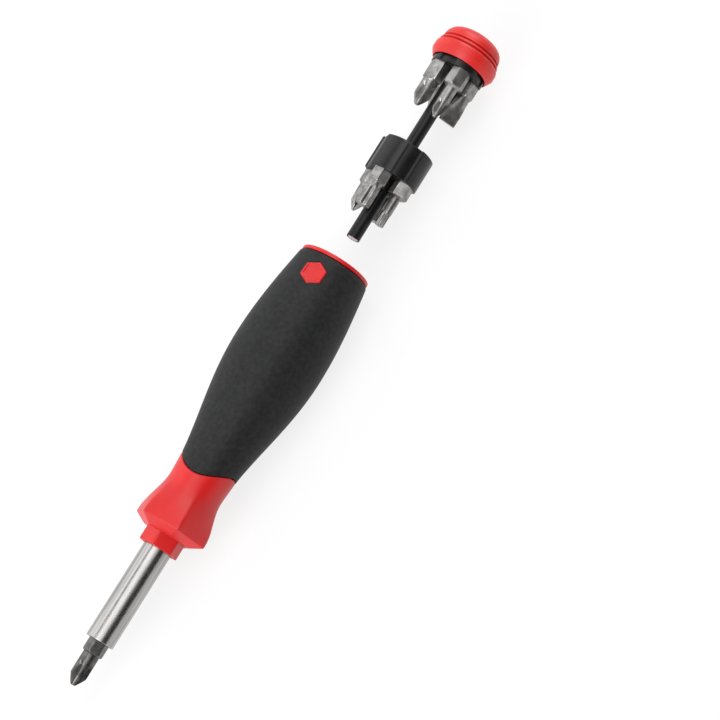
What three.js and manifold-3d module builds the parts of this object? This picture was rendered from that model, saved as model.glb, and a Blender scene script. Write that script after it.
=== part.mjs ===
// A multi-bit screwdriver lying on its belly, with its bit magazine drawn out behind the handle.
// Millimetres. The tool's axis runs along +X from the tip to the cap, and +Z is up.
import * as THREE from 'three';
import { mergeVertices } from 'three/addons/utils/BufferGeometryUtils.js';
import Module from 'manifold-3d';

// Clearances
const gap = 0.3; // between pieces that are fixed to each other
const fit = 0.2; // each side of a hexagon in its socket
const slideGap = 0.35; // round a holder that slides in the bore
const runOut = 1; // free length past the end of a sliding piece

// Insert bits
const bitLength = 25;
const hexAcrossFlats = 6.35;
const hexChamfer = 0.6;
const shankRadius = 2.9;

// Shaft with its hexagon socket
const socketDepth = 8.75;
const socketLead = 0.6;
const shaftRadius = 5;
const shaftBare = 35.55;
const shaftBuried = 30.2;
const shaftKeyLength = 12;
const shaftKeyCorner = 4.7;
const shaftEdge = 0.5;
const socketMagnetRadius = 2.6;
const socketMagnetLength = 3;

// Handle outline
const neckCornerRadius = 7.3;
const neckLength = 5.2;
const bevelCornerRadius = 9;
const bevelLength = 2.4;
const flangeCornerRadius = 13.7;
const flangeLength = 0.7;
const flareLength = 16.2;
const flareFade = 0.8; // how soon the flare's hexagon turns round
const waistRadius = 9.9;
const bellyRise = 51.6;
const bellyRadius = 16.4;
const bellyFall = 35.3;
const rearRadius = 13;
const rimRadius = 12.7;
const rimLength = 1.4;
const rimRound = 0.5;

// Soft grip
const gripSetback = 2.6; // from the waist to the front edge on the lobes
const gripScallop = 5.3; // how far the edge falls back at the sides
const gripWallEnds = 1.2;
const gripWallBelly = 1.8;

// Badge let into the grip
const badgeCornerRadius = 4.5;
const badgeBevel = 0.35;
const badgeProud = 0.15;
const badgeSetback = 7.6; // from the rear end of the grip to the badge's middle

// Magazine
const magazineOut = 11; // from the handle's rim to the end of the rod
const rodRadius = 2.45;
const rodReach = 24.3; // from the rod's end to the lower holder
const rodEdge = 0.4;
const slugRadius = 1.9;
const slugLength = 6;
const keeperRadius = 2.3;
const keeperLength = 3;
const holderRadius = 9.85;
const lowerBitShownLeast = 14; // of a lower bit below its holder
const lowerPocketFloor = 1.2;
const holderSpacing = 31.9;
const upperBitShownLeast = 16;
const upperPocketFloor = 0.9;
const upperHolderShown = 2.2;
const bitCircle = 6.2;
const bitsPerHolder = 4;
const fluteDepth = 0.6;
const fluteHalfAngle = 17;

// Cap on the magazine
const capEndWall = 4.3; // from the upper holder to the cap's flat end
const capRimRadius = 10.6;
const capRadius = 12;
const capBevel = 2.4;
const capBand = 2.2;
const capTaper = 3.6;
const capTaperRadius = 10.8;
const capTopRadius = 6.5;
const capSeat = 1.6; // how far the bevel sinks into the handle's rim
const capGrooveDepth = 0.4;
const capGrooveWidth = 0.9;
const capGrooves = [5.8, 7.4];

// Lengths that follow from the bits
const lowerHolderLength = bitLength - lowerBitShownLeast + gap + lowerPocketFloor;
const upperHolderLength = bitLength - upperBitShownLeast + gap + upperPocketFloor;
const capLength = upperHolderLength - upperHolderShown + gap + capEndWall;

const sides = 36;
const bitSides = 24;
const badgeSides = 12;

// Stations along the axis, measured from the tip of the driving bit
const shaftMouth = bitLength - socketDepth;
const neckFront = shaftMouth + shaftBare;
const shaftEnd = neckFront + shaftBuried;
const flangeFront = neckFront + neckLength;
const flangeTop = flangeFront + bevelLength;
const flangeBack = flangeTop + flangeLength;
const waist = flangeBack + flareLength;
const belly = waist + bellyRise;
const gripRear = belly + bellyFall;
const rimEnd = gripRear + gap + rimLength;
const rodEnd = rimEnd + magazineOut;
const lowerHolderFront = rodEnd + rodReach;
const lowerHolderBack = lowerHolderFront + lowerHolderLength;
const upperHolderFront = lowerHolderBack + holderSpacing;
const upperHolderBack = upperHolderFront + upperHolderLength;
const capRim = upperHolderFront + upperHolderShown;
const capTop = capRim + capLength;
const travel = capRim + capSeat - gap - rimEnd;

const wasm = await Module();
wasm.setup();

const radians = THREE.MathUtils.degToRad;
const hexCorner = (acrossFlats) => acrossFlats / Math.sqrt(3);

// Outlines across the axis: each gives [sideways, up] for an angle measured from straight up
const turned = (angle, radius) => [radius * Math.sin(angle), radius * Math.cos(angle)];
const round = (radius) => (angle) => turned(angle, radius);

function polygonRadius(angle, cornerRadius, corners, firstCorner) {
  const pitch = (2 * Math.PI) / corners;
  const fromCorner = angle - firstCorner;
  const fromFlat = fromCorner - pitch * (Math.floor(fromCorner / pitch) + 0.5);
  return (cornerRadius * Math.cos(pitch / 2)) / Math.cos(fromFlat);
}

// Hexagon with flats above and below, or turned to put a corner on top
const hexagon = (cornerRadius, firstCorner = Math.PI / 6) => (angle) =>
  turned(angle, polygonRadius(angle, cornerRadius, 6, firstCorner));

// Between a hexagon and a circle that touches its corners, with share 1 for the full hexagon
const softHexagon = (cornerRadius, share) => (angle) => {
  const hexRadius = polygonRadius(angle, cornerRadius, 6, Math.PI / 6);
  return turned(angle, THREE.MathUtils.lerp(cornerRadius, hexRadius, share));
};

// Distance of an angle from the nearest of a number of equal lobes
function fromLobe(angle, lobes) {
  const pitch = (2 * Math.PI) / lobes;
  return Math.abs(angle - pitch * Math.round(angle / pitch));
}

// Cross-head section: four wings with hollows between them
const crossWing = radians(16);
const cross = (radius, web) => (angle) => turned(angle, fromLobe(angle, 4) < crossWing ? radius : web);

// Star section: six rounded lobes
const starHollow = 0.28;
const star = (radius) => (angle) =>
  turned(angle, radius * (1 - starHollow * Math.sin(1.5 * fromLobe(angle, 6)) ** 2 * 2));

// Blade section: a rectangle whose width stands up
const bladeCorner = radians(15);
const blade = (width, thickness) => (angle) => {
  const quarter = Math.acos(Math.abs(Math.cos(angle)));
  const side = Math.sign(Math.sin(angle)) || 1;
  const up = Math.sign(Math.cos(angle)) || 1;
  const onEnd = quarter < bladeCorner;
  const along = onEnd ? 1 : (Math.PI / 2 - quarter) / (Math.PI / 2 - bladeCorner);
  const across = onEnd ? quarter / bladeCorner : 1;
  return [(side * across * thickness) / 2, (up * along * width) / 2];
};

// A closed body from [station, outline] pairs along the axis. Its ends are flat, or open into a bore
// where the list closes on itself.
function spin(profile, count, through = false) {
  const positions = [];
  const triangles = [];
  for (const [station, outline] of profile) {
    for (let i = 0; i < count; i += 1) {
      const angle = (2 * Math.PI * i) / count;
      const [sideways, up] = outline(angle);
      const along = typeof station === 'function' ? station(angle) : station;
      positions.push(along, -sideways, up);
    }
  }
  const corner = (ringIndex, i) => (ringIndex % profile.length) * count + (i % count);
  const joins = through ? profile.length : profile.length - 1;
  for (let k = 0; k < joins; k += 1) {
    for (let i = 0; i < count; i += 1) {
      triangles.push(corner(k, i), corner(k, i + 1), corner(k + 1, i + 1));
      triangles.push(corner(k, i), corner(k + 1, i + 1), corner(k + 1, i));
    }
  }
  if (!through) {
    const last = profile.length - 1;
    const first = positions.length / 3;
    positions.push(profile[0][0], 0, 0, profile[last][0], 0, 0);
    for (let i = 0; i < count; i += 1) {
      triangles.push(first, corner(0, i + 1), corner(0, i));
      triangles.push(first + 1, corner(last, i), corner(last, i + 1));
    }
  }
  const geometry = new THREE.BufferGeometry();
  geometry.setAttribute('position', new THREE.Float32BufferAttribute(positions, 3));
  geometry.setIndex(triangles);
  geometry.computeVertexNormals();
  return geometry;
}

// Boolean cuts
function toSolid(geometry) {
  const bare = geometry.clone();
  bare.deleteAttribute('normal');
  bare.deleteAttribute('uv');
  const merged = mergeVertices(bare, 1e-4);
  return new wasm.Manifold(
    new wasm.Mesh({
      numProp: 3,
      vertProperties: Float32Array.from(merged.attributes.position.array),
      triVerts: Uint32Array.from(merged.index.array),
    }),
  );
}

function cut(geometry, tools) {
  let solid = toSolid(geometry);
  for (const tool of tools) solid = solid.subtract(toSolid(tool));
  const mesh = solid.getMesh();
  const result = new THREE.BufferGeometry();
  result.setAttribute('position', new THREE.Float32BufferAttribute(mesh.vertProperties, 3));
  result.setIndex(Array.from(mesh.triVerts));
  result.computeVertexNormals();
  return result;
}

// The tool lies on its belly with the middle of its length over the origin
const tool = new THREE.Group();
tool.position.set(-capTop / 2, 0, bellyRadius);

const finishes = {
  redPlastic: { color: '#d02028', roughness: 0.42, metalness: 0 },
  softBlack: { color: '#2f3032', roughness: 0.75, metalness: 0 },
  blackPlastic: { color: '#1c1d1e', roughness: 0.5, metalness: 0 },
  polishedSteel: { color: '#c9cbcd', roughness: 0.12, metalness: 1 },
  satinSteel: { color: '#8f8d8a', roughness: 0.38, metalness: 1 },
  darkSteel: { color: '#4b4a4a', roughness: 0.4, metalness: 1 },
  magnetNickel: { color: '#b9b7b0', roughness: 0.25, metalness: 1 },
};

function addPiece(name, geometry, finish, parent = tool) {
  const piece = new THREE.Mesh(geometry, new THREE.MeshStandardMaterial(finishes[finish]));
  piece.name = name;
  parent.add(piece);
  return piece;
}

// Handle outline: the grip swells from the waist to the belly and falls away to the rear
const swell = 0.9;
function handleRadius(station) {
  if (station < belly) {
    const share = Math.max(0, (station - waist) / bellyRise) ** swell;
    return waistRadius + ((bellyRadius - waistRadius) * (1 - Math.cos(Math.PI * share))) / 2;
  }
  const share = (station - belly) / bellyFall;
  return rearRadius + (bellyRadius - rearRadius) * Math.cos((Math.PI / 2) * share);
}

// Front edge of the grip: lobes reach forward on top and underneath
const gripFront = waist + gripSetback;
const gripEdge = (behind) => (angle) => gripFront + behind + (gripScallop * (1 - Math.cos(2 * angle))) / 2;
const gripEdgeLast = gripFront + gripScallop;

function gripWall(station) {
  const share = (station - gripFront) / (gripRear - gripFront);
  return gripWallEnds + (gripWallBelly - gripWallEnds) * Math.sin(Math.PI * share);
}
const coreRadius = (station) => handleRadius(station) - gripWall(station) - gap;

// Stations shared by the grip and the core under it, evenly spaced
function spread(from, to, steps) {
  return Array.from({ length: steps + 1 }, (_, i) => THREE.MathUtils.lerp(from, to, i / steps));
}

// Radius followed along an edge that moves with the angle
const along = (edge, radiusAt) => (angle) => turned(angle, radiusAt(edge(angle)));

// Insert bits: the tip's sections run back from its end to a round shank
const crossTip = (pointRadius, radius, web, taper) => [
  [0, cross(pointRadius, web / 2)],
  [taper, cross(radius, web)],
  [taper + radius, round(radius)],
];
const starChamfer = 0.12; // share of the radius that is taken off the star's end
const starTip = (radius, lobeLength) => [
  [0, star(radius * (1 - starChamfer))],
  [2 * starChamfer * radius, star(radius)],
  [lobeLength, star(radius)],
  [lobeLength + radius / 2, round(radius)],
];
const bladeTip = (width, thickness, length) => [
  [0, blade(width, thickness)],
  [length / 2, blade(width, 2 * thickness)],
  [length, round(shankRadius)],
];

// Each holder's bits, a quarter turn apart, with the length that shows below the holder
const upperBits = [
  { name: 'bit_cross_slender', shown: 19, shank: 12.5, tip: crossTip(0.5, 2.2, 0.95, 3) },
  { name: 'bit_blade_wide', shown: upperBitShownLeast, shank: 10.5, tip: bladeTip(6.2, 1.1, 8) },
  { name: 'bit_blade_narrow', shown: 17, shank: 11, tip: bladeTip(4.5, 0.8, 8) },
  { name: 'bit_cross_large', shown: 17, shank: 10, tip: crossTip(0.9, 2.9, 1.3, 3.6) },
];
const lowerBits = [
  { name: 'bit_star_large', shown: lowerBitShownLeast, shank: 9, tip: starTip(2.6, 6.5) },
  { name: 'bit_star_small', shown: 16.5, shank: 11.5, tip: starTip(1.7, 4) },
  { name: 'bit_star_medium', shown: lowerBitShownLeast, shank: 9.5, tip: starTip(2.1, 4.5) },
  { name: 'bit_cross_small', shown: 15, shank: 10, tip: crossTip(0.6, 2.7, 1.15, 3.4) },
];
const drivingTip = { shank: 11.5, tip: crossTip(0.9, 2.9, 1.3, 3.6) };
const upperTurn = radians(33);
const lowerTurn = radians(-12);
const longestBitShown = Math.max(...lowerBits.map((bit) => bit.shown));
const longestHexShown = Math.max(...lowerBits.map((bit) => bit.shown - bit.shank));

function bitGeometry({ shank, tip }) {
  const corner = hexCorner(hexAcrossFlats);
  return spin(
    [
      ...tip,
      [shank - hexChamfer, tip[tip.length - 1][1]],
      [shank, hexagon(corner - hexChamfer)],
      [shank + hexChamfer, hexagon(corner)],
      [bitLength - hexChamfer, hexagon(corner)],
      [bitLength, hexagon(corner - hexChamfer)],
    ],
    bitSides,
  );
}

// Handle core: hexagon neck and flange, the grip's seat, the magazine bore and its rim
function handleCore() {
  const holeRadius = shaftRadius + gap;
  const keyFront = shaftEnd - shaftKeyLength;
  const boreRadius = holderRadius + slideGap;
  const hexBoreRadius = Math.hypot(bitCircle + hexAcrossFlats / 2, hexCorner(hexAcrossFlats) / 2) + slideGap;
  const tipBoreRadius = bitCircle + shankRadius + slideGap;
  const holderFloor = lowerHolderFront - travel - runOut;
  const hexFloor = holderFloor - longestHexShown;
  const tipFloor = holderFloor - longestBitShown;
  const rodHole = rodRadius + gap;
  const rodFloor = rodEnd - travel - gap;
  const keeperHole = keeperRadius + gap;
  const keeperFloor = rodFloor - keeperLength - gap;
  const seatSlope = (capRadius - capRimRadius) / capBevel;
  const seatRadius = capRimRadius + gap;
  const mouthRadius = seatRadius + seatSlope * capSeat;
  const flare = spread(0, 1, 5).map((share) => {
    const radius = waistRadius + ((flangeCornerRadius - waistRadius) * (1 + Math.cos(Math.PI * share))) / 2;
    return [flangeBack + flareLength * share, softHexagon(radius, (1 - share) ** flareFade)];
  });
  const seatStations = spread(gripEdgeLast + gap, gripRear - gap, 9);
  const seat = seatStations.map((station) => [station, round(coreRadius(station))]);
  return spin(
    [
      [shaftEnd + gap, hexagon(shaftKeyCorner + gap, 0)],
      [keyFront + gap, hexagon(shaftKeyCorner + gap, 0)],
      [keyFront + gap, round(holeRadius)],
      [neckFront, round(holeRadius)],
      [neckFront, hexagon(neckCornerRadius, 0)],
      [flangeFront, hexagon(neckCornerRadius, 0)],
      [flangeFront, hexagon(bevelCornerRadius)],
      [flangeTop, hexagon(flangeCornerRadius)],
      ...flare,
      [gripEdge(-gap), along(gripEdge(-gap), handleRadius)],
      [gripEdge(-gap), along(gripEdge(-gap), coreRadius)],
      ...seat,
      [gripRear + gap, round(coreRadius(gripRear))],
      [gripRear + gap, round(rimRadius)],
      [rimEnd - rimRound, round(rimRadius)],
      [rimEnd, round(rimRadius - rimRound)],
      [rimEnd, round(mouthRadius)],
      [rimEnd - capSeat, round(seatRadius)],
      [rimEnd - capSeat, round(boreRadius)],
      [holderFloor, round(boreRadius)],
      [holderFloor, round(hexBoreRadius)],
      [hexFloor, round(hexBoreRadius)],
      [hexFloor, round(tipBoreRadius)],
      [tipFloor, round(tipBoreRadius)],
      [tipFloor, round(rodHole)],
      [rodFloor, round(rodHole)],
      [rodFloor, round(keeperHole)],
      [keeperFloor, round(keeperHole)],
    ],
    sides,
  );
}

// Soft grip over the core, with a window for the badge
function badgePlace() {
  const station = gripRear - badgeSetback;
  const slope = Math.atan2(handleRadius(station - runOut) - handleRadius(station + runOut), 2 * runOut);
  return { station, slope };
}

// A hexagon standing on the handle with a corner along the axis, from one height to another
function badgePrism(cornerRadius, bottom, top, bevel) {
  const { station, slope } = badgePlace();
  const prism = spin(
    [
      [bottom, hexagon(cornerRadius, 0)],
      [top - bevel, hexagon(cornerRadius, 0)],
      [top, hexagon(cornerRadius - bevel, 0)],
    ],
    badgeSides,
  );
  return prism.rotateY(slope - Math.PI / 2).translate(station, 0, coreRadius(station));
}

function gripSleeve() {
  const innerRadius = (station) => handleRadius(station) - gripWall(station);
  const stations = [...spread(gripEdgeLast + gap, belly, 6), ...spread(belly, gripRear, 5).slice(1)];
  const outside = stations.map((station) => [station, round(handleRadius(station))]);
  const inside = stations.map((station) => [station, round(innerRadius(station))]).reverse();
  const edge = gripEdge(0);
  const sleeve = spin(
    [[edge, along(edge, handleRadius)], ...outside, ...inside, [edge, along(edge, innerRadius)]],
    sides,
    true,
  );
  const window = badgePrism(badgeCornerRadius + gap, -gripWallBelly, 2 * gripWallBelly, gap);
  return cut(sleeve, [window]);
}

function hexBadge() {
  const { station } = badgePlace();
  const top = handleRadius(station) - coreRadius(station) + badgeProud;
  return badgePrism(badgeCornerRadius, gap, top, badgeBevel);
}

// Shaft: a polished tube with a hexagon socket, a magnet behind it and a keyed tail in the core
const socketFloor = shaftMouth + socketDepth + gap;
function bitShaft() {
  const socketCorner = hexCorner(hexAcrossFlats + 2 * fit);
  const magnetHole = socketMagnetRadius + fit;
  const keyFront = shaftEnd - shaftKeyLength;
  return spin(
    [
      [socketFloor + socketMagnetLength + gap, round(magnetHole)],
      [socketFloor, round(magnetHole)],
      [socketFloor, hexagon(socketCorner, 0)],
      [shaftMouth + socketLead, hexagon(socketCorner, 0)],
      [shaftMouth, hexagon(socketCorner + socketLead / 2, 0)],
      [shaftMouth, round(shaftRadius - shaftEdge)],
      [shaftMouth + shaftEdge, round(shaftRadius)],
      [keyFront, round(shaftRadius)],
      [keyFront, hexagon(shaftKeyCorner, 0)],
      [shaftEnd, hexagon(shaftKeyCorner, 0)],
    ],
    sides,
  );
}

const disc = (from, length, radius) =>
  spin([[from, round(radius)], [from + length, round(radius)]], bitSides);

// Rod with a bare steel slug in its end
function magazineRod() {
  const slugHole = slugRadius + fit;
  return spin(
    [
      [rodEnd + slugLength + gap, round(slugHole)],
      [rodEnd, round(slugHole)],
      [rodEnd, round(rodRadius - rodEdge / 4)],
      [rodEnd + rodEdge, round(rodRadius)],
      [upperHolderBack, round(rodRadius)],
    ],
    bitSides,
  );
}

// A holder: a fluted barrel on the rod with a hexagon pocket for each bit
const holderSides = 48;
const pocketSides = 12;
function holderGeometry(front, length, bits) {
  const pitch = (2 * Math.PI) / bitsPerHolder;
  const fluted = (angle) => {
    const inFlute = fromLobe(angle - pitch / 2, bitsPerHolder) < radians(fluteHalfAngle);
    return turned(angle, inFlute ? holderRadius - fluteDepth : holderRadius);
  };
  const rodHole = round(rodRadius + fit);
  const barrel = spin(
    [[front, fluted], [front + length, fluted], [front + length, rodHole], [front, rodHole]],
    holderSides,
    true,
  );
  const pocketOutline = hexagon(hexCorner(hexAcrossFlats + 2 * fit));
  const pockets = bits.map((bit, i) => {
    const depth = bitLength - bit.shown + gap;
    const pocket = spin([[front - runOut, pocketOutline], [front + depth, pocketOutline]], pocketSides);
    return pocket.translate(0, 0, bitCircle).rotateX(i * pitch);
  });
  return cut(barrel, pockets);
}

function addHolder(name, front, length, turn, bits) {
  const set = new THREE.Group();
  set.rotation.x = turn;
  tool.add(set);
  addPiece(name, holderGeometry(front, length, bits), 'blackPlastic', set);
  bits.forEach((bit, i) => {
    const place = new THREE.Group();
    place.rotation.x = (2 * Math.PI * i) / bitsPerHolder;
    set.add(place);
    const piece = addPiece(bit.name, bitGeometry(bit), 'satinSteel', place);
    piece.position.set(front - bit.shown, 0, bitCircle);
  });
}

// Cap: a bevelled cup over the upper holder, with two fine grooves and a rounded end
function endCap() {
  const pocket = holderRadius + gap;
  const bandTop = capBevel + capBand;
  const taperTop = bandTop + capTaper;
  const sideRadius = (height) =>
    THREE.MathUtils.mapLinear(height, bandTop, taperTop, capRadius, capTaperRadius);
  const grooves = capGrooves.flatMap((height) => [
    [capRim + height - capGrooveWidth / 2, round(sideRadius(height - capGrooveWidth / 2))],
    [capRim + height, round(sideRadius(height) - capGrooveDepth)],
    [capRim + height + capGrooveWidth / 2, round(sideRadius(height + capGrooveWidth / 2))],
  ]);
  const crown = spread(0, Math.PI / 2, 5).map((turn) => [
    capRim + taperTop + (capLength - taperTop) * Math.sin(turn),
    round(capTopRadius + (capTaperRadius - capTopRadius) * Math.cos(turn)),
  ]);
  return spin(
    [
      [upperHolderBack + gap, round(pocket)],
      [capRim, round(pocket)],
      [capRim, round(capRimRadius)],
      [capRim + capBevel, round(capRadius)],
      [capRim + bandTop, round(capRadius)],
      ...grooves,
      ...crown,
    ],
    sides,
  );
}

// Driving bit, turned to bring a corner of its hexagon on top
const drivingBit = addPiece('drive_bit', bitGeometry(drivingTip), 'darkSteel');
drivingBit.rotation.x = Math.PI / 6;

addPiece('bit_shaft', bitShaft(), 'polishedSteel');
addPiece('socket_magnet', disc(socketFloor, socketMagnetLength, socketMagnetRadius), 'magnetNickel');
addPiece('handle_core', handleCore(), 'redPlastic');
addPiece('grip_sleeve', gripSleeve(), 'softBlack');
addPiece('hex_badge', hexBadge(), 'redPlastic');
const keeperFront = rodEnd - travel - gap - keeperLength;
addPiece('keeper_magnet', disc(keeperFront, keeperLength, keeperRadius), 'magnetNickel');
addPiece('magazine_rod', magazineRod(), 'blackPlastic');
addPiece('rod_slug', disc(rodEnd, slugLength, slugRadius), 'satinSteel');
addHolder('lower_holder', lowerHolderFront, lowerHolderLength, lowerTurn, lowerBits);
addHolder('upper_holder', upperHolderFront, upperHolderLength, upperTurn, upperBits);
addPiece('end_cap', endCap(), 'redPlastic');

export default tool;
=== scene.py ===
from math import atan2, cos, hypot, pi, radians, sin

import bmesh
import bpy
from mathutils import Matrix, Vector


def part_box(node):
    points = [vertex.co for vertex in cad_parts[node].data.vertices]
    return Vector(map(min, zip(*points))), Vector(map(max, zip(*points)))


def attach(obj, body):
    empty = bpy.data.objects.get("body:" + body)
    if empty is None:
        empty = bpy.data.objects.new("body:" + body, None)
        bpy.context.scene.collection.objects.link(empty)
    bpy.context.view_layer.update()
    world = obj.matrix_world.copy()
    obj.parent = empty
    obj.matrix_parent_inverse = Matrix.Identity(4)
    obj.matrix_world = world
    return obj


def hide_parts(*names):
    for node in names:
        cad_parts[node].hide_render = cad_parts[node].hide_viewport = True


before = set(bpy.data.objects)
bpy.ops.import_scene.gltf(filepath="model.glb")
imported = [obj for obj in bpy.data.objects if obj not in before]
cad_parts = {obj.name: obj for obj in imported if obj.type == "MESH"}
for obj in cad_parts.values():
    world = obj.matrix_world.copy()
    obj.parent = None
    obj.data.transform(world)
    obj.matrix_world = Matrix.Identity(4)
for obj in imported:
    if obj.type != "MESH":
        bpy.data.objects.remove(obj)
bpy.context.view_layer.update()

MM = 0.001

# Camera at the photograph's angle: where it stands, and the picture's right and top
CAMERA_PLACE = Vector((-148.4, -283.2, 745.5)) * MM
PICTURE_RIGHT = Vector((0.5161, -0.8366, -0.1838))
PICTURE_UP = Vector((0.8327, 0.4397, 0.3366))
CAMERA_LENS = 118.7
CAMERA_SENSOR = 36
CAMERA_NEAR = 0.01

# Places read from the frame
grip_low, grip_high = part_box("grip_sleeve")
core_low, core_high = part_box("handle_core")
shaft_low, shaft_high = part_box("bit_shaft")
cap_low, cap_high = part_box("end_cap")
rod_low, rod_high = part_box("magazine_rod")
slug_low, slug_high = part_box("rod_slug")
badge_low, badge_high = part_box("hex_badge")
AXIS_HEIGHT = (grip_low.z + grip_high.z) / 2

# Handle outline, in metres along the tool's axis
NECK_FRONT = core_low.x
RIM_END = core_high.x
GRIP_FRONT = grip_low.x
GRIP_REAR = grip_high.x
BELLY_RADIUS = (grip_high.z - grip_low.z) / 2
NECK_CORNER = 7.3 * MM
NECK_LENGTH = 5.2 * MM
BEVEL_CORNER = 9 * MM
BEVEL_LENGTH = 2.4 * MM
FLANGE_CORNER = 13.7 * MM
FLANGE_LENGTH = 0.7 * MM
FLARE_LENGTH = 16.2 * MM
FLARE_FADE = 1.2
WAIST_RADIUS = 9.9 * MM
BELLY_RISE = 51.6 * MM
REAR_RADIUS = 13 * MM
RIM_RADIUS = 12.7 * MM
RIM_ROUND = 0.6 * MM
GRIP_SCALLOP = 5.3 * MM
GRIP_WALL = 1.5 * MM
FLANGE_FRONT = NECK_FRONT + NECK_LENGTH
FLANGE_TOP = FLANGE_FRONT + BEVEL_LENGTH
FLANGE_BACK = FLANGE_TOP + FLANGE_LENGTH
WAIST = FLANGE_BACK + FLARE_LENGTH
BELLY = WAIST + BELLY_RISE
SWELL = 0.9
SHAFT_HOLE = 5.3 * MM
CORE_EDGE = 0.35 * MM
CORE_LIP = 0.3 * MM
GRIP_LIP = 0.45 * MM
GRIP_BLEND = 4 * MM

# Bore of the handle
BORE_RADIUS = 10.2 * MM
MOUTH_RADIUS = 11.8 * MM
SEAT_RADIUS = 10.9 * MM
SEAT_DEPTH = 1.6 * MM
BORE_FLOOR = RIM_END - 65.4 * MM
ROD_HOLE = 2.75 * MM
ROD_FLOOR = RIM_END - 75.8 * MM

# Bits
HEX_CORNER = 6.35 / 2 / cos(pi / 6) * MM
HEX_CHAMFER = 0.6 * MM
POCKET_GAP = 0.2 * MM

# How sharp a hexagon's corners are: the higher, the sharper
NECK_CRISPNESS = 30
FLANGE_CRISPNESS = 60
BADGE_CRISPNESS = 80
SOCKET_CRISPNESS = 90
SOCKET_MOUTH_CRISPNESS = 40
HEXAGON_TURN = pi / 6

# Points round a section, and the angle from which an edge is shaded as sharp
AROUND = 144
AROUND_GRIP = 192
AROUND_HOLDER = 240
AROUND_BIT = 96
AROUND_POCKET = 48
SHARP_ANGLE = 32
BIT_SHARP_ANGLE = 26
ARC_SHARE = 0.45


# Outlines across the axis: each gives (sideways, up) for an angle measured from straight up
def turned(angle, radius):
    return radius * sin(angle), radius * cos(angle)


def round_outline(radius):
    return lambda angle: turned(angle, radius)


def hexagon_radius(angle, corner, crispness):
    """Radius of a hexagon with flats above and below and with softened corners."""
    flat = corner * cos(pi / 6)
    total = sum(abs(cos(angle - k * pi / 3) / flat) ** crispness for k in range(3))
    return total ** (-1 / crispness)


def hexagon(corner, turn=0, crispness=40, share=1):
    """Hexagon turned about the axis, or part of the way from a circle to it."""
    return lambda angle: turned(
        angle, corner + (hexagon_radius(angle - turn, corner, crispness) - corner) * share
    )


def from_lobe(angle, lobes):
    pitch = 2 * pi / lobes
    return abs(angle - pitch * round(angle / pitch))


def cross(radius, wing):
    """Four wings of one thickness with straight-sided hollows between them."""

    def outline(angle):
        lean = sin(from_lobe(angle, 4))
        return turned(angle, min(radius, wing / 2 / lean) if lean > 1e-6 else radius)

    return outline


def star(radius, hollow=0.26):
    return lambda angle: turned(angle, radius * (1 - hollow * (1 - cos(6 * angle)) / 2))


def blade(width, thickness, crispness=14):
    def outline(angle):
        across = abs(sin(angle) * 2 / thickness) ** crispness
        along = abs(cos(angle) * 2 / width) ** crispness
        return turned(angle, (across + along) ** (-1 / crispness))

    return outline


# Meshes from rings of points along the axis
def ring(station, outline, around):
    points = []
    for i in range(around):
        angle = 2 * pi * i / around
        sideways, up = outline(angle)
        along = station(angle) if callable(station) else station
        points.append(Vector((along, -sideways, up)))
    return points


def loft(name, sections, around=AROUND, through=False, sharp=SHARP_ANGLE, place=None):
    """A closed body through (station, outline) sections, or a tube where they close on themselves."""
    mesh = bmesh.new()
    rings = [[mesh.verts.new(p) for p in ring(s, o, around)] for s, o in sections]
    following = rings[1:] + rings[:1] if through else rings[1:]
    for near, far in zip(rings, following):
        for i in range(around):
            j = (i + 1) % around
            mesh.faces.new((near[i], near[j], far[j], far[i]))
    if not through:
        mesh.faces.new(list(reversed(rings[0])))
        mesh.faces.new(rings[-1])
    bmesh.ops.recalc_face_normals(mesh, faces=mesh.faces)
    data = bpy.data.meshes.new(name)
    mesh.to_mesh(data)
    mesh.free()
    piece = bpy.data.objects.new(name, data)
    bpy.context.collection.objects.link(piece)
    data.transform(place if place is not None else Matrix.Translation((0, 0, AXIS_HEIGHT)))
    shade(piece, sharp)
    return piece


def shade(piece, sharp):
    piece.data.shade_smooth()
    piece.data.set_sharp_from_angle(angle=radians(sharp))


def rounded(points, radius, steps=4):
    """The same outline with an arc in place of each inner corner."""
    result = [points[0]]
    for before, corner, after in zip(points, points[1:], points[2:]):
        into = Vector(before) - Vector(corner)
        out = Vector(after) - Vector(corner)
        reach = min(radius, into.length * ARC_SHARE, out.length * ARC_SHARE)
        start = Vector(corner) + into.normalized() * reach
        end = Vector(corner) + out.normalized() * reach
        for k in range(steps + 1):
            t = k / steps
            result.append(start * (1 - t) ** 2 + Vector(corner) * 2 * t * (1 - t) + end * t**2)
    result.append(points[-1])
    return [(p[0], p[1]) for p in result]


def lathe(name, points, edge, around=AROUND, **options):
    return loft(name, [(x, round_outline(r)) for x, r in rounded(points, edge)], around, **options)


def spread(start, end, steps):
    return [start + (end - start) * i / steps for i in range(steps + 1)]


def cut(piece, tools, sharp=SHARP_ANGLE):
    """Takes the tools' shapes out of a piece and removes the tools."""
    for tool in tools:
        modifier = piece.modifiers.new("cut", "BOOLEAN")
        modifier.operation = "DIFFERENCE"
        modifier.solver = "EXACT"
        modifier.object = tool
    view = bpy.context.evaluated_depsgraph_get()
    data = bpy.data.meshes.new_from_object(piece.evaluated_get(view))
    piece.modifiers.clear()
    piece.data = data
    for tool in tools:
        bpy.data.objects.remove(tool)
    shade(piece, sharp)
    return piece


def finish_piece(piece, material, body, slot, *nodes):
    piece.data.materials.clear()
    piece.data.materials.append(material)
    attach(piece, body)
    if nodes:
        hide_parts(*nodes)
    return piece


# Materials: every one varies in colour and roughness over the surface and has its own fine relief
NOISE_LOW = 0.3
NOISE_HIGH = 0.7
SHADE_LOW = 0.35
SHADE_HIGH = 0.65
EDGE_BEGINS = 0.53
EDGE_FULL = 0.66
EDGE_WEAR = 0.5


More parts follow.
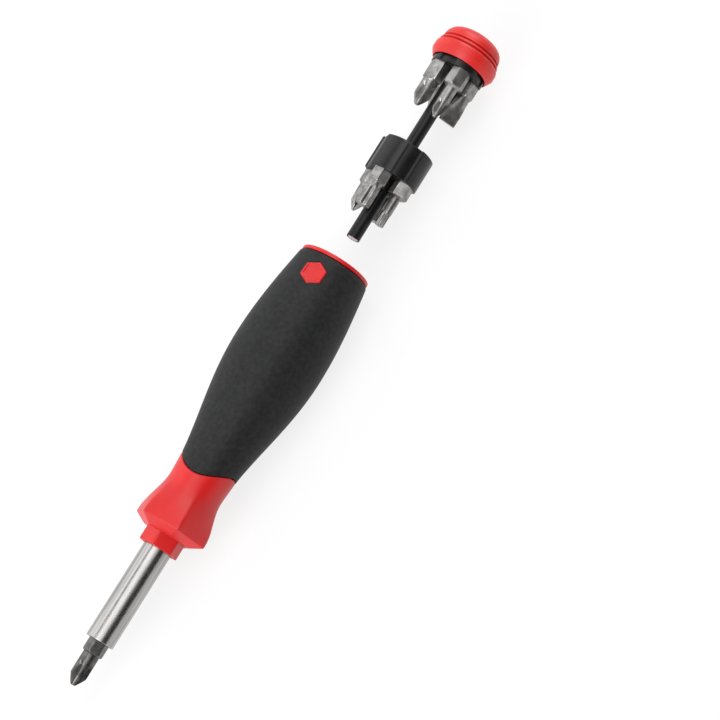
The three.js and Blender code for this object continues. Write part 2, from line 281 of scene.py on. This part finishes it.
def add_node(tree, kind, **values):
    node = tree.nodes.new(kind)
    for name, value in values.items():
        setattr(node, name, value)
    return node


def noise(tree, size, stretch=(1, 1, 1), detail=4):
    """Noise with features of about the given size in metres, stretched along the axes."""
    place = add_node(tree, "ShaderNodeTexCoord")
    scale = add_node(tree, "ShaderNodeMapping")
    scale.inputs["Scale"].default_value = [s / size for s in stretch]
    pattern = add_node(tree, "ShaderNodeTexNoise")
    pattern.inputs["Scale"].default_value = 1
    pattern.inputs["Detail"].default_value = detail
    tree.links.new(place.outputs["Object"], scale.inputs["Vector"])
    tree.links.new(scale.outputs["Vector"], pattern.inputs["Vector"])
    return pattern.outputs["Fac"]


def span(tree, value, low, high):
    """A number that runs from low to high with the noise."""
    node = add_node(tree, "ShaderNodeMapRange")
    node.inputs["From Min"].default_value = NOISE_LOW
    node.inputs["From Max"].default_value = NOISE_HIGH
    node.inputs["To Min"].default_value = low
    node.inputs["To Max"].default_value = high
    tree.links.new(value, node.inputs["Value"])
    return node.outputs["Result"]


def shades(tree, value, dark, light):
    ramp = add_node(tree, "ShaderNodeValToRGB")
    ramp.color_ramp.elements[0].position = SHADE_LOW
    ramp.color_ramp.elements[0].color = (*dark, 1)
    ramp.color_ramp.elements[1].position = SHADE_HIGH
    ramp.color_ramp.elements[1].color = (*light, 1)
    tree.links.new(value, ramp.inputs["Fac"])
    return ramp.outputs["Color"]


def worn(tree, colour, cloud, edge_colour):
    """The colour with its raised edges rubbed towards another one, unevenly."""
    shape = add_node(tree, "ShaderNodeNewGeometry")
    edges = add_node(tree, "ShaderNodeMapRange")
    edges.inputs["From Min"].default_value = EDGE_BEGINS
    edges.inputs["From Max"].default_value = EDGE_FULL
    edges.inputs["To Max"].default_value = EDGE_WEAR
    patchy = add_node(tree, "ShaderNodeMath", operation="MULTIPLY")
    mix = add_node(tree, "ShaderNodeMix", data_type="RGBA")
    mix.inputs["B"].default_value = (*edge_colour, 1)
    tree.links.new(shape.outputs["Pointiness"], edges.inputs["Value"])
    tree.links.new(edges.outputs["Result"], patchy.inputs[0])
    tree.links.new(span(tree, cloud, 0.5, 1), patchy.inputs[1])
    tree.links.new(patchy.outputs["Value"], mix.inputs["Factor"])
    tree.links.new(colour, mix.inputs["A"])
    return mix.outputs["Result"]


def surface(name, dark, light, edge, roughness, patch, grain, relief, **options):
    """Shader with colours between dark and light, rubbed edges, a roughness range and a fine grain."""
    material = bpy.data.materials.new(name)
    material.use_nodes = True
    tree = material.node_tree
    shader = tree.nodes["Principled BSDF"]
    for socket, value in options.get("sockets", {}).items():
        shader.inputs[socket].default_value = value
    stretch = options.get("stretch", (1, 1, 1))
    cloud = noise(tree, patch, stretch)
    fine = noise(tree, grain, stretch, detail=options.get("detail", 3))
    colour = worn(tree, shades(tree, cloud, dark, light), cloud, edge)
    tree.links.new(colour, shader.inputs["Base Color"])
    tree.links.new(span(tree, fine, *roughness), shader.inputs["Roughness"])
    bump = add_node(tree, "ShaderNodeBump")
    bump.inputs["Strength"].default_value = 1
    bump.inputs["Distance"].default_value = relief
    tree.links.new(fine, bump.inputs["Height"])
    tree.links.new(bump.outputs["Normal"], shader.inputs["Normal"])
    return material


METAL = {"Metallic": 1}
PLASTIC = {"Subsurface Weight": 0.04, "Subsurface Scale": 0.002, "Specular IOR Level": 0.5}

RED = surface(
    "red_moulding",
    dark=(0.6, 0.007, 0.008),
    light=(0.67, 0.01, 0.011),
    edge=(0.85, 0.06, 0.05),
    roughness=(0.36, 0.48),
    patch=9 * MM,
    grain=0.35 * MM,
    relief=0.004 * MM,
    sockets=PLASTIC,
)
CAP_RED = surface(
    "red_cap_moulding",
    dark=(0.64, 0.012, 0.01),
    light=(0.72, 0.018, 0.014),
    edge=(0.9, 0.09, 0.07),
    roughness=(0.36, 0.48),
    patch=9 * MM,
    grain=0.3 * MM,
    relief=0.004 * MM,
    sockets=PLASTIC,
)
SOFT_BLACK = surface(
    "soft_black_overmould",
    dark=(0.0095, 0.0097, 0.0103),
    light=(0.018, 0.0183, 0.0192),
    edge=(0.035, 0.035, 0.035),
    roughness=(0.5, 0.64),
    patch=1.6 * MM,
    grain=0.3 * MM,
    relief=0.02 * MM,
    detail=6,
    sockets={"Specular IOR Level": 0.22},
)
BLACK = surface(
    "black_moulding",
    dark=(0.006, 0.006, 0.0065),
    light=(0.01, 0.01, 0.0105),
    edge=(0.03, 0.03, 0.03),
    roughness=(0.26, 0.36),
    patch=5 * MM,
    grain=0.15 * MM,
    relief=0.006 * MM,
    sockets={"Specular IOR Level": 0.32},
)
ROD_BLACK = surface(
    "black_rod_coating",
    dark=(0.008, 0.008, 0.009),
    light=(0.013, 0.013, 0.014),
    edge=(0.05, 0.05, 0.05),
    roughness=(0.26, 0.36),
    patch=4 * MM,
    grain=0.1 * MM,
    relief=0.003 * MM,
    stretch=(0.2, 1, 1),
    sockets={"Specular IOR Level": 0.2},
)
BRIGHT = surface(
    "polished_steel",
    dark=(0.32, 0.309, 0.302),
    light=(0.46, 0.449, 0.442),
    edge=(0.55, 0.54, 0.53),
    roughness=(0.22, 0.34),
    patch=1.1 * MM,
    grain=0.12 * MM,
    relief=0.001 * MM,
    stretch=(0.04, 1, 1),
    sockets=METAL,
)
SATIN = surface(
    "satin_bit_steel",
    dark=(0.18, 0.174, 0.17),
    light=(0.33, 0.322, 0.315),
    edge=(0.5, 0.49, 0.48),
    roughness=(0.3, 0.46),
    patch=2.5 * MM,
    grain=0.07 * MM,
    relief=0.004 * MM,
    detail=5,
    sockets=METAL,
)
PALE_STEEL = surface(
    "pale_rod_end",
    dark=(0.66, 0.655, 0.65),
    light=(0.74, 0.735, 0.73),
    edge=(0.8, 0.8, 0.8),
    roughness=(0.4, 0.55),
    patch=1.5 * MM,
    grain=0.08 * MM,
    relief=0.004 * MM,
    sockets=METAL,
)
DARK = surface(
    "dark_bit_steel",
    dark=(0.085, 0.083, 0.08),
    light=(0.15, 0.147, 0.143),
    edge=(0.4, 0.4, 0.39),
    roughness=(0.3, 0.46),
    patch=1.6 * MM,
    grain=0.07 * MM,
    relief=0.004 * MM,
    detail=5,
    sockets=METAL,
)
NICKEL = surface(
    "nickel_plating",
    dark=(0.6, 0.58, 0.53),
    light=(0.68, 0.66, 0.61),
    edge=(0.75, 0.73, 0.68),
    roughness=(0.14, 0.24),
    patch=1.5 * MM,
    grain=0.1 * MM,
    relief=0.002 * MM,
    sockets=METAL,
)


# Handle
def handle_radius(x):
    if x < BELLY:
        share = max(0, (x - WAIST) / BELLY_RISE) ** SWELL
        return WAIST_RADIUS + (BELLY_RADIUS - WAIST_RADIUS) * (1 - cos(pi * share)) / 2
    share = (x - BELLY) / (GRIP_REAR - BELLY)
    return REAR_RADIUS + (BELLY_RADIUS - REAR_RADIUS) * cos(pi / 2 * share)


def grip_edge(angle):
    return GRIP_FRONT + GRIP_SCALLOP * (1 - cos(2 * angle)) / 2


def edge_section(behind, below):
    """Section that runs along the grip's scalloped edge."""
    return (
        lambda angle: grip_edge(angle) + behind,
        lambda angle: turned(angle, handle_radius(grip_edge(angle) + behind) - below),
    )


def blend_section(share, behind, end):
    """Section part of the way from the grip's scalloped edge to a plain ring."""

    def station(angle):
        start = grip_edge(angle) + behind
        return start + (end - start) * share

    return station, lambda angle: turned(angle, handle_radius(station(angle)))


def make_core():
    hole = SHAFT_HOLE
    edge = CORE_EDGE
    lip = CORE_LIP
    neck = [
        (shaft_high.x + edge, round_outline(hole)),
        (NECK_FRONT + edge, round_outline(hole)),
        (NECK_FRONT, round_outline(hole + edge)),
    ]
    for x, corner in rounded(
        [
            (NECK_FRONT, hole + 2 * edge),
            (NECK_FRONT, NECK_CORNER),
            (FLANGE_FRONT, NECK_CORNER),
            (FLANGE_FRONT, NECK_CORNER + edge),
        ],
        edge,
    )[1:]:
        neck.append((x, hexagon(corner, HEXAGON_TURN, NECK_CRISPNESS)))
    flange = [
        (x, hexagon(corner, 0, FLANGE_CRISPNESS))
        for x, corner in rounded(
            [
                (FLANGE_FRONT, BEVEL_CORNER - 2 * edge),
                (FLANGE_FRONT, BEVEL_CORNER),
                (FLANGE_TOP, FLANGE_CORNER),
                (FLANGE_BACK, FLANGE_CORNER),
            ],
            2 * edge,
        )
    ]
    flare = []
    for share in spread(0, 1, 24)[1:]:
        corner = WAIST_RADIUS + (FLANGE_CORNER - WAIST_RADIUS) * (1 + cos(pi * share)) / 2
        outline = hexagon(corner, 0, FLANGE_CRISPNESS, (1 - share) ** FLARE_FADE)
        flare.append((FLANGE_BACK + FLARE_LENGTH * share, outline))
    seat = [
        edge_section(-lip - edge, 0),
        edge_section(-lip, edge),
        edge_section(-lip, GRIP_WALL + lip),
    ]
    under = [
        (x, round_outline(handle_radius(x) - GRIP_WALL - lip))
        for x in spread(GRIP_FRONT + GRIP_SCALLOP + lip, GRIP_REAR, 20)
    ]
    rear = [
        (x, round_outline(r))
        for x, r in rounded(
            [
                (GRIP_REAR + lip, REAR_RADIUS - GRIP_WALL),
                (GRIP_REAR + lip, RIM_RADIUS),
                (RIM_END, RIM_RADIUS),
                (RIM_END, MOUTH_RADIUS),
                (RIM_END - SEAT_DEPTH, SEAT_RADIUS),
                (RIM_END - SEAT_DEPTH, BORE_RADIUS),
                (BORE_FLOOR, BORE_RADIUS),
                (BORE_FLOOR, ROD_HOLE),
                (ROD_FLOOR, ROD_HOLE),
            ],
            RIM_ROUND,
        )
    ]
    core = loft("red_core", neck + flange + flare + seat + under + rear)
    return finish_piece(core, RED, "handle", "red_plastic", "handle_core")


def badge_matrix():
    x = (badge_low.x + badge_high.x) / 2
    slope = atan2(handle_radius(x - MM) - handle_radius(x + MM), 2 * MM)
    height = AXIS_HEIGHT + handle_radius(x)
    return Matrix.Translation((x, 0, height)) @ Matrix.Rotation(slope - pi / 2, 4, "Y")


BADGE_CORNER = 4.5 * MM
BADGE_PROUD = 0.15 * MM
BADGE_DEPTH = 1.6 * MM
BADGE_BEVEL = 0.35 * MM
BADGE_BORDER = 0.45 * MM
BADGE_DISH = 0.3 * MM
BADGE_ROUND = 0.12 * MM
BADGE_GAP = 0.12 * MM
BADGE_WINDOW = 3 * MM


def make_grip():
    lip = GRIP_LIP
    blend_end = GRIP_FRONT + GRIP_SCALLOP + GRIP_BLEND
    arc = spread(0, pi / 2, 5)[1:]
    front = [edge_section(0.6 * MM, GRIP_WALL), edge_section(0, GRIP_WALL), edge_section(0, lip)]
    front += [edge_section(lip * (1 - cos(a)), lip * (1 - sin(a))) for a in arc]
    front += [blend_section(share, lip, blend_end) for share in spread(0, 1, 6)[1:-1]]
    outside = [(x, round_outline(handle_radius(x))) for x in spread(blend_end, GRIP_REAR - lip, 48)]
    rear = [
        (GRIP_REAR - lip * (1 - sin(a)), round_outline(REAR_RADIUS - lip * (1 - cos(a))))
        for a in arc
    ]
    inside = [
        (x, round_outline(handle_radius(x) - GRIP_WALL))
        for x in spread(GRIP_REAR, GRIP_FRONT + GRIP_SCALLOP + MM, 20)
    ]
    grip = loft("soft_grip", front + outside + rear + inside, AROUND_GRIP, through=True)
    window = loft(
        "badge_window",
        [
            (height, hexagon(BADGE_CORNER + BADGE_GAP, HEXAGON_TURN, BADGE_CRISPNESS))
            for height in (-BADGE_WINDOW, BADGE_WINDOW)
        ],
        AROUND_BIT,
        place=badge_matrix(),
    )
    cut(grip, [window])
    return finish_piece(grip, SOFT_BLACK, "handle", "soft_grip", "grip_sleeve")


def make_badge():
    heights = rounded(
        [
            (-BADGE_DEPTH, BADGE_CORNER),
            (BADGE_PROUD - BADGE_BEVEL, BADGE_CORNER),
            (BADGE_PROUD, BADGE_CORNER - BADGE_BEVEL),
            (BADGE_PROUD, BADGE_CORNER - BADGE_BEVEL - BADGE_BORDER),
            (BADGE_PROUD - BADGE_DISH, BADGE_CORNER - 2 * BADGE_BEVEL - BADGE_BORDER),
            (BADGE_PROUD - BADGE_DISH, BADGE_CORNER / 3),
        ],
        BADGE_ROUND,
    )
    sections = [(h, hexagon(c, HEXAGON_TURN, BADGE_CRISPNESS)) for h, c in heights]
    badge = loft("badge", sections, AROUND_BIT, place=badge_matrix())
    return finish_piece(badge, RED, "handle", "red_plastic", "hex_badge")


# Shaft
SHAFT_RADIUS = (shaft_high.z - shaft_low.z) / 2
SOCKET_DEPTH = 9.05 * MM
SOCKET_LEAD = 0.6 * MM
SHAFT_FACE = 0.7 * MM
SHAFT_EDGE = 0.55 * MM


def make_shaft():
    mouth = shaft_low.x
    socket = HEX_CORNER + POCKET_GAP / cos(pi / 6)
    inside = [
        (mouth + SOCKET_DEPTH, hexagon(socket, HEXAGON_TURN, SOCKET_CRISPNESS)),
        (mouth + SOCKET_LEAD, hexagon(socket, HEXAGON_TURN, SOCKET_CRISPNESS)),
        (mouth, hexagon(socket + SOCKET_LEAD / 2, HEXAGON_TURN, SOCKET_MOUTH_CRISPNESS)),
    ]
    outside = rounded(
        [
            (mouth, SHAFT_RADIUS - SHAFT_FACE),
            (mouth, SHAFT_RADIUS),
            (shaft_high.x, SHAFT_RADIUS),
            (shaft_high.x, SHAFT_RADIUS / 2),
        ],
        SHAFT_EDGE,
        6,
    )
    shaft = loft("shaft_tube", inside + [(x, round_outline(r)) for x, r in outside])
    return finish_piece(shaft, BRIGHT, "handle", "polished_steel", "bit_shaft")


# Insert bits: the tip's sections run back from its end, in metres from the tip
def cross_tip(point, radius, wing, taper):
    return [
        (0, cross(point * 0.7, wing * 0.7)),
        (0.15 * MM, cross(point, wing * 0.74)),
        (taper * 0.5, cross(point + (radius - point) * 0.52, wing * 0.84)),
        (taper * 0.97, cross(radius * 0.985, wing * 0.96)),
        (taper * 1.08, cross(radius, wing)),
        (taper + radius * 0.7, cross(radius, wing * 1.25)),
        (taper + radius * 1.2, cross(radius, wing * 1.7)),
        (taper + radius * 1.6, cross(radius, radius * 1.5)),
    ]


def star_tip(radius, lobe_length):
    return [
        (0, star(radius * 0.86)),
        (radius / 8, star(radius * 0.95)),
        (radius / 4, star(radius)),
        (lobe_length, star(radius)),
        (lobe_length + radius / 4, star(radius, 0.13)),
        (lobe_length + radius / 2, round_outline(radius)),
    ]


def blade_tip(width, thickness, length):
    shank = 2.9 * MM
    return [
        (0, blade(width, thickness)),
        (length * 0.25, blade(width, thickness * 1.3)),
        (length * 0.5, blade(width, thickness * 2, 10)),
        (length * 0.75, blade(width * 0.6 + 0.8 * shank, thickness * 1.4 + 0.7 * shank, 4)),
        (length, round_outline(shank)),
    ]


BITS = {
    "drive_bit": (11.5 * MM, cross_tip(0.9 * MM, 2.9 * MM, 1.5 * MM, 3.6 * MM)),
    "bit_cross_slender": (12.5 * MM, cross_tip(0.5 * MM, 2.2 * MM, 1.1 * MM, 3 * MM)),
    "bit_blade_wide": (10.5 * MM, blade_tip(6.2 * MM, 1.1 * MM, 8 * MM)),
    "bit_blade_narrow": (11 * MM, blade_tip(4.5 * MM, 0.8 * MM, 8 * MM)),
    "bit_cross_large": (10 * MM, cross_tip(0.9 * MM, 2.9 * MM, 1.5 * MM, 3.6 * MM)),
    "bit_star_large": (9 * MM, star_tip(2.6 * MM, 6.5 * MM)),
    "bit_star_small": (11.5 * MM, star_tip(1.7 * MM, 4 * MM)),
    "bit_star_medium": (9.5 * MM, star_tip(2.1 * MM, 4.5 * MM)),
    "bit_cross_small": (10 * MM, cross_tip(0.6 * MM, 2.7 * MM, 1.35 * MM, 3.4 * MM)),
}


def bit_axis(node):
    """Where a bit's own axis lies: (sideways, up) from the tool's axis, and its turn about it."""
    low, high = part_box(node)
    sideways = -(low.y + high.y) / 2
    up = (low.z + high.z) / 2 - AXIS_HEIGHT
    if hypot(sideways, up) < MM:
        return 0, 0, HEXAGON_TURN
    return sideways, up, atan2(sideways, up)


def bit_matrix(node):
    low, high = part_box(node)
    sideways, up, turn = bit_axis(node)
    return Matrix.Translation((low.x, -sideways, AXIS_HEIGHT + up)) @ Matrix.Rotation(turn, 4, "X")


def make_bit(node, shank, tip, body, material, slot):
    low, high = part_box(node)
    length = high.x - low.x
    last_outline = tip[-1][1]
    neck = [(shank - 0.9 * MM, last_outline), (shank - 0.5 * MM, last_outline)]
    # Station, how far the hexagon's corners are cut back there, and how crisp they are
    profile = [
        (shank, HEX_CHAMFER, 12),
        (shank + 0.45 * HEX_CHAMFER, 0.3 * HEX_CHAMFER, 20),
        (shank + HEX_CHAMFER, 0, 70),
        (length - HEX_CHAMFER, 0, 70),
        (length, HEX_CHAMFER, 30),
    ]
    hexes = [(x, hexagon(HEX_CORNER - less, 0, crispness)) for x, less, crispness in profile]
    sections = tip + neck + hexes
    bit = loft(node + "_body", sections, AROUND_BIT, sharp=BIT_SHARP_ANGLE, place=bit_matrix(node))
    return finish_piece(bit, material, body, slot, node)


# Magazine
ROD_RADIUS = (rod_high.z - rod_low.z) / 2
SLUG_RADIUS = (slug_high.z - slug_low.z) / 2
HOLDER_RADIUS = 9.85 * MM
FLUTE_DEPTH = 0.8 * MM
FLUTE_HALF = radians(17)
FLUTE_EDGE = radians(1.5)
HOLDER_EDGE = 0.4 * MM
HOLDER_GAP = 0.3 * MM
ROD_EDGE = 0.25 * MM


def make_rod():
    edge = ROD_EDGE
    rod = lathe(
        "rod",
        [
            (slug_high.x + edge, SLUG_RADIUS + edge / 2),
            (rod_low.x, SLUG_RADIUS + edge / 2),
            (rod_low.x, ROD_RADIUS),
            (rod_high.x, ROD_RADIUS),
        ],
        edge,
        AROUND_BIT,
    )
    finish_piece(rod, ROD_BLACK, "magazine", "black_rod", "magazine_rod")
    slug = lathe(
        "rod_end",
        [
            (slug_low.x, SLUG_RADIUS / 8),
            (slug_low.x, SLUG_RADIUS),
            (slug_high.x, SLUG_RADIUS),
            (slug_high.x, SLUG_RADIUS / 2),
        ],
        edge,
        AROUND_BIT,
    )
    return finish_piece(slug, PALE_STEEL, "magazine", "satin_steel", "rod_slug")


def make_holder(name, node, bits):
    low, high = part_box(node)
    first_turn = bit_axis(bits[0])[2]

    def fluted(shrink):
        def outline(angle):
            away = from_lobe(angle - first_turn - pi / len(bits), len(bits))
            depth = min(1, max(0, (FLUTE_HALF + FLUTE_EDGE - away) / (2 * FLUTE_EDGE)))
            step = FLUTE_DEPTH * depth * depth * (3 - 2 * depth)
            return turned(angle, HOLDER_RADIUS - shrink - step)

        return outline

    edge = HOLDER_EDGE
    hole = round_outline(ROD_RADIUS + POCKET_GAP)
    sections = [(low.x, hole)]
    for a in spread(pi / 2, 0, 4):
        sections.append((low.x + edge * (1 - sin(a)), fluted(edge * (1 - cos(a)))))
    for a in spread(0, pi / 2, 4):
        sections.append((high.x - edge * (1 - sin(a)), fluted(edge * (1 - cos(a)))))
    sections.append((high.x, hole))
    barrel = loft(name, sections, AROUND_HOLDER, through=True)
    pocket = HEX_CORNER + POCKET_GAP / cos(pi / 6)
    tools = []
    for bit in bits:
        bit_low, bit_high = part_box(bit)
        reach = [low.x - bit_low.x - MM, bit_high.x - bit_low.x + POCKET_GAP]
        sections = [(x, hexagon(pocket, 0, SOCKET_CRISPNESS)) for x in reach]
        tools.append(loft("pocket", sections, AROUND_POCKET, place=bit_matrix(bit)))
    cut(barrel, tools)
    return finish_piece(barrel, BLACK, "magazine", "black_plastic", node)


CAP_RIM_RADIUS = 10.6 * MM
CAP_RADIUS = (cap_high.z - cap_low.z) / 2
CAP_BEVEL = 2.4 * MM
CAP_BAND = 2.2 * MM
CAP_TAPER = 3.6 * MM
CAP_TAPER_RADIUS = 10.8 * MM
CAP_TOP_RADIUS = 6.5 * MM
CAP_GROOVES = (5.8 * MM, 7.4 * MM)
CAP_GROOVE_WIDTH = 0.9 * MM
CAP_GROOVE_DEPTH = 0.85 * MM
CAP_EDGE = 0.2 * MM

# A groove's outline: shares of its half width and of its depth
GROOVE_PROFILE = ((-1, 0), (-0.5, 1), (0.5, 1), (1, 0))


def make_cap():
    pocket = HOLDER_RADIUS + HOLDER_GAP
    band_top = CAP_BEVEL + CAP_BAND
    taper_top = band_top + CAP_TAPER

    def side(height):
        return CAP_RADIUS + (CAP_TAPER_RADIUS - CAP_RADIUS) * (height - band_top) / CAP_TAPER

    points = [
        (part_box("upper_holder")[1].x + HOLDER_GAP, pocket),
        (cap_low.x, pocket),
        (cap_low.x, CAP_RIM_RADIUS),
        (cap_low.x + CAP_BEVEL, CAP_RADIUS),
        (cap_low.x + band_top, CAP_RADIUS),
    ]
    for height in CAP_GROOVES:
        for offset, depth in GROOVE_PROFILE:
            at = height + offset * CAP_GROOVE_WIDTH / 2
            points.append((cap_low.x + at, side(at) - depth * CAP_GROOVE_DEPTH))
    for turn in spread(0, pi / 2, 16):
        x = cap_low.x + taper_top + (cap_high.x - cap_low.x - taper_top) * sin(turn)
        points.append((x, CAP_TOP_RADIUS + (CAP_TAPER_RADIUS - CAP_TOP_RADIUS) * cos(turn)))
    cap = lathe("cap", points, CAP_EDGE)
    return finish_piece(cap, CAP_RED, "magazine", "red_cap", "end_cap")


LOWER_BITS = ("bit_star_large", "bit_star_small", "bit_star_medium", "bit_cross_small")
UPPER_BITS = ("bit_cross_slender", "bit_blade_wide", "bit_blade_narrow", "bit_cross_large")

make_core()
make_grip()
make_badge()
make_shaft()
for bit_name, (bit_shank, bit_tip) in BITS.items():
    if bit_name == "drive_bit":
        make_bit(bit_name, bit_shank, bit_tip, bit_name, DARK, "dark_steel")
    else:
        make_bit(bit_name, bit_shank, bit_tip, bit_name, SATIN, "satin_steel")
make_rod()
make_holder("lower_barrel", "lower_holder", LOWER_BITS)
make_holder("upper_barrel", "upper_holder", UPPER_BITS)
make_cap()
for magnet in ("socket_magnet", "keeper_magnet"):
    node_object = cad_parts[magnet]
    for place in node_object.material_slots:
        place.material = NICKEL


# Floor, light and camera
def where_seen(tree, hidden, seen):
    """One number for rays that light the tool and another for those that show the background."""
    path = add_node(tree, "ShaderNodeLightPath")
    mirrored = add_node(tree, "ShaderNodeMath", operation="MAXIMUM")
    tree.links.new(path.outputs["Is Glossy Ray"], mirrored.inputs[0])
    tree.links.new(path.outputs["Is Transmission Ray"], mirrored.inputs[1])
    shown = add_node(tree, "ShaderNodeMath", operation="MAXIMUM")
    tree.links.new(path.outputs["Is Camera Ray"], shown.inputs[0])
    tree.links.new(mirrored.outputs["Value"], shown.inputs[1])
    choice = add_node(tree, "ShaderNodeMapRange")
    choice.inputs["To Min"].default_value = hidden
    choice.inputs["To Max"].default_value = seen
    tree.links.new(shown.outputs["Value"], choice.inputs["Value"])
    return choice.outputs["Result"]


FLOOR_SIZE = 12
FLOOR_COLOUR = (0.93, 0.93, 0.93, 1)
FLOOR_ROUGHNESS = 0.9
FLOOR_GLOW = 0.82
FILL = 0.44


def make_floor():
    size = FLOOR_SIZE
    data = bpy.data.meshes.new("floor")
    corners = [(x * size, y * size, 0) for x, y in ((-1, -1), (1, -1), (1, 1), (-1, 1))]
    data.from_pydata(corners, [], [(0, 1, 2, 3)])
    floor = bpy.data.objects.new("floor", data)
    bpy.context.collection.objects.link(floor)
    material = bpy.data.materials.new("pale_floor")
    material.use_nodes = True
    tree = material.node_tree
    shader = tree.nodes["Principled BSDF"]
    shader.inputs["Base Color"].default_value = FLOOR_COLOUR
    shader.inputs["Roughness"].default_value = FLOOR_ROUGHNESS
    shader.inputs["Specular IOR Level"].default_value = 0
    glow = add_node(tree, "ShaderNodeEmission")
    glow.inputs["Strength"].default_value = 1
    mix = add_node(tree, "ShaderNodeMixShader")
    tree.links.new(where_seen(tree, 0, FLOOR_GLOW), mix.inputs["Fac"])
    tree.links.new(shader.outputs["BSDF"], mix.inputs[1])
    tree.links.new(glow.outputs["Emission"], mix.inputs[2])
    tree.links.new(mix.outputs["Shader"], tree.nodes["Material Output"].inputs["Surface"])
    data.materials.append(material)


def around_axis(angle, distance, x=0):
    """A place at an angle from straight up, towards the picture's right, round the tool's axis."""
    return Vector((x, -distance * sin(angle), AXIS_HEIGHT + distance * cos(angle)))


# Softboxes: place, size along and across the tool in metres, and power in watts
SOFTBOXES = {
    "top_softbox": (around_axis(radians(-2), 1), (1.2, 0.55), 3.2),
    "left_softbox": (around_axis(radians(-60), 1), (1.2, 0.95), 2.8),
    "tip_softbox": (Vector((-0.85, 0.12, 0.6)), (0.6, 0.6), 7.2),
    "cap_softbox": (Vector((0.85, 0.12, 0.6)), (0.6, 0.6), 5.2),
}

# Dark cards along the tool: angle round its axis, and width
CARDS = {
    "right_card": (radians(54), 0.42),
    "left_card": (radians(-27), 0.08),
}
CARD_DISTANCE = 0.5
CARD_LENGTH = 1.2
CARD_COLOUR = (0.02, 0.02, 0.02, 1)


def placed(place, x_axis, y_axis, z_axis):
    return Matrix.Translation(place) @ Matrix((x_axis, y_axis, z_axis)).transposed().to_4x4()


def add_softbox(name, place, size, power):
    """A rectangular lamp that faces the tool, with its long side along the tool where it can be."""
    lamp = bpy.data.lights.new(name, "AREA")
    lamp.shape = "RECTANGLE"
    lamp.size, lamp.size_y = size
    lamp.energy = power
    box = bpy.data.objects.new(name, lamp)
    bpy.context.collection.objects.link(box)
    back = (place - Vector((0, 0, AXIS_HEIGHT))).normalized()
    across = back.cross(Vector((1, 0, 0))).normalized()
    along = across.cross(back)
    box.matrix_world = placed(place, along, across, back)


def add_card(name, angle, width):
    """A dark card beside the tool, which shades it a little and shows only in its bright steel."""
    data = bpy.data.meshes.new(name)
    place = around_axis(angle, CARD_DISTANCE)
    inward = (Vector((0, 0, AXIS_HEIGHT)) - place).normalized()
    across = inward.cross(Vector((1, 0, 0)))
    corners = [
        place + Vector((sx * CARD_LENGTH / 2, 0, 0)) + across * sy * width / 2
        for sx, sy in ((-1, -1), (1, -1), (1, 1), (-1, 1))
    ]
    data.from_pydata(corners, [], [(0, 1, 2, 3)])
    card = bpy.data.objects.new(name, data)
    card.visible_camera = False
    bpy.context.collection.objects.link(card)
    material = bpy.data.materials.new(name)
    material.use_nodes = True
    shader = material.node_tree.nodes["Principled BSDF"]
    shader.inputs["Base Color"].default_value = CARD_COLOUR
    shader.inputs["Roughness"].default_value = 1
    data.materials.append(material)


def make_light():
    world = bpy.data.worlds.new("studio")
    world.use_nodes = True
    tree = world.node_tree
    backdrop = tree.nodes["Background"]
    backdrop.inputs["Color"].default_value = (1, 1, 1, 1)
    tree.links.new(where_seen(tree, FILL, 1), backdrop.inputs["Strength"])
    bpy.context.scene.world = world
    for name, (place, size, power) in SOFTBOXES.items():
        add_softbox(name, place, size, power)
    for name, (angle, width) in CARDS.items():
        add_card(name, angle, width)


def make_camera():
    data = bpy.data.cameras.new("camera")
    data.lens = CAMERA_LENS
    data.sensor_width = CAMERA_SENSOR
    data.clip_start = CAMERA_NEAR
    camera = bpy.data.objects.new("camera", data)
    bpy.context.collection.objects.link(camera)
    right = PICTURE_RIGHT.normalized()
    back = right.cross(PICTURE_UP).normalized()
    up = back.cross(right)
    camera.matrix_world = placed(CAMERA_PLACE, right, up, back)
    bpy.context.scene.camera = camera


make_floor()
make_light()
make_camera()
bpy.context.scene.view_settings.view_transform = "Standard"
